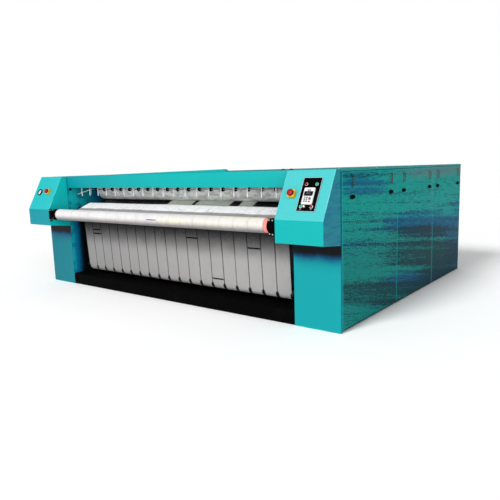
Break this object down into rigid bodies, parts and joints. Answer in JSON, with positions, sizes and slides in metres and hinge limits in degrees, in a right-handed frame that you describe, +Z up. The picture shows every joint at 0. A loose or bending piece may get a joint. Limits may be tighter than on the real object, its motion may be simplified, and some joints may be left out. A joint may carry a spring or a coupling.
{
  "type": "flatwork ironer",
  "caption": "Flatwork ironer with heated cylinders in a low cabinet, a belt feed table in front and a rear outlet between side cabinets with control consoles.",
  "frame": {"origin": "centre of the footprint on the floor", "axes": "+X across the machine to the side with the control panel, +Y from the feed table to the outlet, +Z up"},
  "size_m": [4.446, 3.549, 1.4283],
  "materials": {
    "turquoise_paint": "satin",
    "dark_turquoise_paint": "satin",
    "black_paint": "satin",
    "steel": "polished",
    "dark_steel": "machined",
    "cotton": "woven",
    "belt_cloth": "woven",
    "end_rubber": "matt",
    "white_plastic": "satin",
    "yellow_plastic": "satin",
    "red_plastic": "gloss",
    "green_plastic": "gloss",
    "grey_paint": "satin"
  },
  "bodies": {
    "machine": {"left_side_frame": "turquoise_paint", "left_front_cover": "turquoise_paint", "left_console": "turquoise_paint", "right_side_frame": "turquoise_paint", "right_front_cover": "turquoise_paint", "right_console": "turquoise_paint", "roof_panel": "dark_turquoise_paint", "top_hood": "dark_turquoise_paint", "front_lintel": "turquoise_paint", "kick_panel": "black_paint", "rear_panel": "dark_turquoise_paint", "gear_motor": "grey_paint", "feed_belt_set": "belt_cloth", "guide_wheel_shaft": "black_paint", "control_panel_plate": "black_paint", "inverter_unit": "white_plastic", "lamp_red": "red_plastic", "lamp_green": "green_plastic", "estop_base_right": "yellow_plastic", "estop_base_left": "yellow_plastic", "gauge_case": "black_paint"},
    "cylinder_1": {"ironing_cylinder_1": "steel", "drive_gear_1": "dark_steel"},
    "cylinder_2": {"ironing_cylinder_2": "steel", "drive_gear_2": "dark_steel"},
    "cylinder_3": {"ironing_cylinder_3": "steel", "drive_gear_3": "dark_steel"},
    "motor_pinion": {"motor_pinion": "dark_steel"},
    "press_roller": {"press_roller": "cotton"},
    "front_feed_roller": {"front_feed_roller": "end_rubber"},
    "crest_roller": {"crest_roller": "steel"},
    "return_roller": {"return_roller": "steel"},
    "tension_roller": {"tension_roller": "steel"},
    "idler_roller": {"idler_roller": "steel"},
    "finger_guard": {"finger_guard": "white_plastic"},
    "start_button": {"start_button": "green_plastic"},
    "stop_button": {"stop_button": "red_plastic"},
    "speed_knob": {"speed_knob": "white_plastic"},
    "estop_head_right": {"estop_head_right": "red_plastic"},
    "estop_head_left": {"estop_head_left": "red_plastic"},
    "gauge_needle": {"gauge_needle": "red_plastic"},
    "left_door_1": {"left_door_1": "dark_turquoise_paint"},
    "left_latch_1a": {"left_latch_1a": "black_paint"},
    "left_latch_1b": {"left_latch_1b": "black_paint"},
    "left_door_2": {"left_door_2": "dark_turquoise_paint"},
    "left_latch_2a": {"left_latch_2a": "black_paint"},
    "left_latch_2b": {"left_latch_2b": "black_paint"},
    "left_door_3": {"left_door_3": "dark_turquoise_paint"},
    "left_latch_3a": {"left_latch_3a": "black_paint"},
    "left_latch_3b": {"left_latch_3b": "black_paint"},
    "right_door_1": {"right_door_1": "dark_turquoise_paint"},
    "right_latch_1a": {"right_latch_1a": "black_paint"},
    "right_latch_1b": {"right_latch_1b": "black_paint"},
    "right_door_2": {"right_door_2": "dark_turquoise_paint"},
    "right_latch_2a": {"right_latch_2a": "black_paint"},
    "right_latch_2b": {"right_latch_2b": "black_paint"},
    "right_door_3": {"right_door_3": "dark_turquoise_paint"},
    "right_latch_3a": {"right_latch_3a": "black_paint"},
    "right_latch_3b": {"right_latch_3b": "black_paint"}
  },
  "joints": [
    {"name": "cylinder_1_spin", "type": "hinge", "parent": "machine", "child": "cylinder_1", "pos_m": [0, -0.8305, 0.7], "axis": [1, 0, 0], "continuous": true},
    {"name": "cylinder_2_spin", "type": "hinge", "parent": "machine", "child": "cylinder_2", "pos_m": [0, 0.1895, 0.7], "axis": [1, 0, 0], "continuous": true},
    {"name": "cylinder_3_spin", "type": "hinge", "parent": "machine", "child": "cylinder_3", "pos_m": [0, 1.2095, 0.7], "axis": [1, 0, 0], "continuous": true},
    {"name": "motor_pinion_spin", "type": "hinge", "parent": "machine", "child": "motor_pinion", "pos_m": [0, -1.23899, 0.185], "axis": [1, 0, 0], "continuous": true},
    {"name": "press_roller_spin", "type": "hinge", "parent": "machine", "child": "press_roller", "pos_m": [0, -0.9705, 1.20941], "axis": [1, 0, 0], "continuous": true},
    {"name": "front_feed_roller_spin", "type": "hinge", "parent": "machine", "child": "front_feed_roller", "pos_m": [0, -1.7015, 0.933], "axis": [1, 0, 0], "continuous": true},
    {"name": "crest_roller_spin", "type": "hinge", "parent": "machine", "child": "crest_roller", "pos_m": [0, -1.2405, 0.96392], "axis": [1, 0, 0], "continuous": true},
    {"name": "return_roller_spin", "type": "hinge", "parent": "machine", "child": "return_roller", "pos_m": [0, -0.3505, 0.415], "axis": [1, 0, 0], "continuous": true},
    {"name": "tension_roller_spin", "type": "hinge", "parent": "machine", "child": "tension_roller", "pos_m": [0, -1.2755, 0.236], "axis": [1, 0, 0], "continuous": true},
    {"name": "idler_roller_spin", "type": "hinge", "parent": "machine", "child": "idler_roller", "pos_m": [0, -1.4145, 0.87], "axis": [1, 0, 0], "continuous": true},
    {"name": "finger_guard_swing", "type": "hinge", "parent": "machine", "child": "finger_guard", "pos_m": [0, -1.4125, 1.292], "axis": [1, 0, 0], "range_deg": [0, 18]},
    {"name": "left_door_1_tilt", "type": "hinge", "parent": "machine", "child": "left_door_1", "pos_m": [-2.199, -0.891, 0.025], "axis": [0, -1, 0], "range_deg": [0, 30]},
    {"name": "left_latch_1a_turn", "type": "hinge", "parent": "left_door_1", "child": "left_latch_1a", "pos_m": [-2.199, -1.2955, 1.16], "axis": [-1, 0, 0], "range_deg": [0, 90]},
    {"name": "left_latch_1b_turn", "type": "hinge", "parent": "left_door_1", "child": "left_latch_1b", "pos_m": [-2.199, -0.4865, 1.16], "axis": [-1, 0, 0], "range_deg": [0, 90]},
    {"name": "left_door_2_tilt", "type": "hinge", "parent": "machine", "child": "left_door_2", "pos_m": [-2.199, 0.2115, 0.025], "axis": [0, -1, 0], "range_deg": [0, 30]},
    {"name": "left_latch_2a_turn", "type": "hinge", "parent": "left_door_2", "child": "left_latch_2a", "pos_m": [-2.199, -0.1655, 1.16], "axis": [-1, 0, 0], "range_deg": [0, 90]},
    {"name": "left_latch_2b_turn", "type": "hinge", "parent": "left_door_2", "child": "left_latch_2b", "pos_m": [-2.199, 0.5885, 1.16], "axis": [-1, 0, 0], "range_deg": [0, 90]},
    {"name": "left_door_3_tilt", "type": "hinge", "parent": "machine", "child": "left_door_3", "pos_m": [-2.199, 1.2445, 0.025], "axis": [0, -1, 0], "range_deg": [0, 30]},
    {"name": "left_latch_3a_turn", "type": "hinge", "parent": "left_door_3", "child": "left_latch_3a", "pos_m": [-2.199, 0.8615, 1.16], "axis": [-1, 0, 0], "range_deg": [0, 90]},
    {"name": "left_latch_3b_turn", "type": "hinge", "parent": "left_door_3", "child": "left_latch_3b", "pos_m": [-2.199, 1.6275, 1.16], "axis": [-1, 0, 0], "range_deg": [0, 90]},
    {"name": "right_door_1_tilt", "type": "hinge", "parent": "machine", "child": "right_door_1", "pos_m": [2.199, -0.891, 0.025], "axis": [0, 1, 0], "range_deg": [0, 30]},
    {"name": "right_latch_1a_turn", "type": "hinge", "parent": "right_door_1", "child": "right_latch_1a", "pos_m": [2.199, -1.2955, 1.16], "axis": [1, 0, 0], "range_deg": [0, 90]},
    {"name": "right_latch_1b_turn", "type": "hinge", "parent": "right_door_1", "child": "right_latch_1b", "pos_m": [2.199, -0.4865, 1.16], "axis": [1, 0, 0], "range_deg": [0, 90]},
    {"name": "right_door_2_tilt", "type": "hinge", "parent": "machine", "child": "right_door_2", "pos_m": [2.199, 0.2115, 0.025], "axis": [0, 1, 0], "range_deg": [0, 30]},
    {"name": "right_latch_2a_turn", "type": "hinge", "parent": "right_door_2", "child": "right_latch_2a", "pos_m": [2.199, -0.1655, 1.16], "axis": [1, 0, 0], "range_deg": [0, 90]},
    {"name": "right_latch_2b_turn", "type": "hinge", "parent": "right_door_2", "child": "right_latch_2b", "pos_m": [2.199, 0.5885, 1.16], "axis": [1, 0, 0], "range_deg": [0, 90]},
    {"name": "right_door_3_tilt", "type": "hinge", "parent": "machine", "child": "right_door_3", "pos_m": [2.199, 1.2445, 0.025], "axis": [0, 1, 0], "range_deg": [0, 30]},
    {"name": "right_latch_3a_turn", "type": "hinge", "parent": "right_door_3", "child": "right_latch_3a", "pos_m": [2.199, 0.8615, 1.16], "axis": [1, 0, 0], "range_deg": [0, 90]},
    {"name": "right_latch_3b_turn", "type": "hinge", "parent": "right_door_3", "child": "right_latch_3b", "pos_m": [2.199, 1.6275, 1.16], "axis": [1, 0, 0], "range_deg": [0, 90]},
    {"name": "start_button_press", "type": "slide", "parent": "machine", "child": "start_button", "axis": [0, 0.8823, -0.4707], "range_m": [0, 0.003], "stiffness_N_per_m": 400, "springref_m": -0.002},
    {"name": "stop_button_press", "type": "slide", "parent": "machine", "child": "stop_button", "axis": [0, 0.8823, -0.4707], "range_m": [0, 0.003], "stiffness_N_per_m": 400, "springref_m": -0.002},
    {"name": "estop_head_right_press", "type": "slide", "parent": "machine", "child": "estop_head_right", "axis": [0, 0.8823, -0.4707], "range_m": [0, 0.006], "stiffness_N_per_m": 1500, "springref_m": -0.003},
    {"name": "estop_head_left_press", "type": "slide", "parent": "machine", "child": "estop_head_left", "axis": [0, 0.8823, -0.4707], "range_m": [0, 0.006], "stiffness_N_per_m": 1500, "springref_m": -0.003},
    {"name": "speed_knob_turn", "type": "hinge", "parent": "machine", "child": "speed_knob", "pos_m": [1.988, -1.72637, 1.10846], "axis": [0, 0.8823, -0.4707], "range_deg": [0, 270]},
    {"name": "gauge_needle_turn", "type": "hinge", "parent": "machine", "child": "gauge_needle", "pos_m": [-2.072, -1.67141, 1.20722], "axis": [0, 0.8823, -0.4707], "range_deg": [0, 140], "stiffness_Nm_per_rad": 0.01}
  ],
  "couplings": [
    {"joint": "cylinder_2_spin", "follows": "cylinder_1_spin", "ratio": -1},
    {"joint": "cylinder_3_spin", "follows": "cylinder_1_spin", "ratio": 1},
    {"joint": "motor_pinion_spin", "follows": "cylinder_1_spin", "ratio": -3.4615},
    {"joint": "press_roller_spin", "follows": "cylinder_1_spin", "ratio": -3.125},
    {"joint": "front_feed_roller_spin", "follows": "cylinder_1_spin", "ratio": -6.1538},
    {"joint": "crest_roller_spin", "follows": "cylinder_1_spin", "ratio": -4.9383},
    {"joint": "return_roller_spin", "follows": "cylinder_1_spin", "ratio": -8},
    {"joint": "tension_roller_spin", "follows": "cylinder_1_spin", "ratio": -7.2727},
    {"joint": "idler_roller_spin", "follows": "cylinder_1_spin", "ratio": 9.5238}
  ]
}
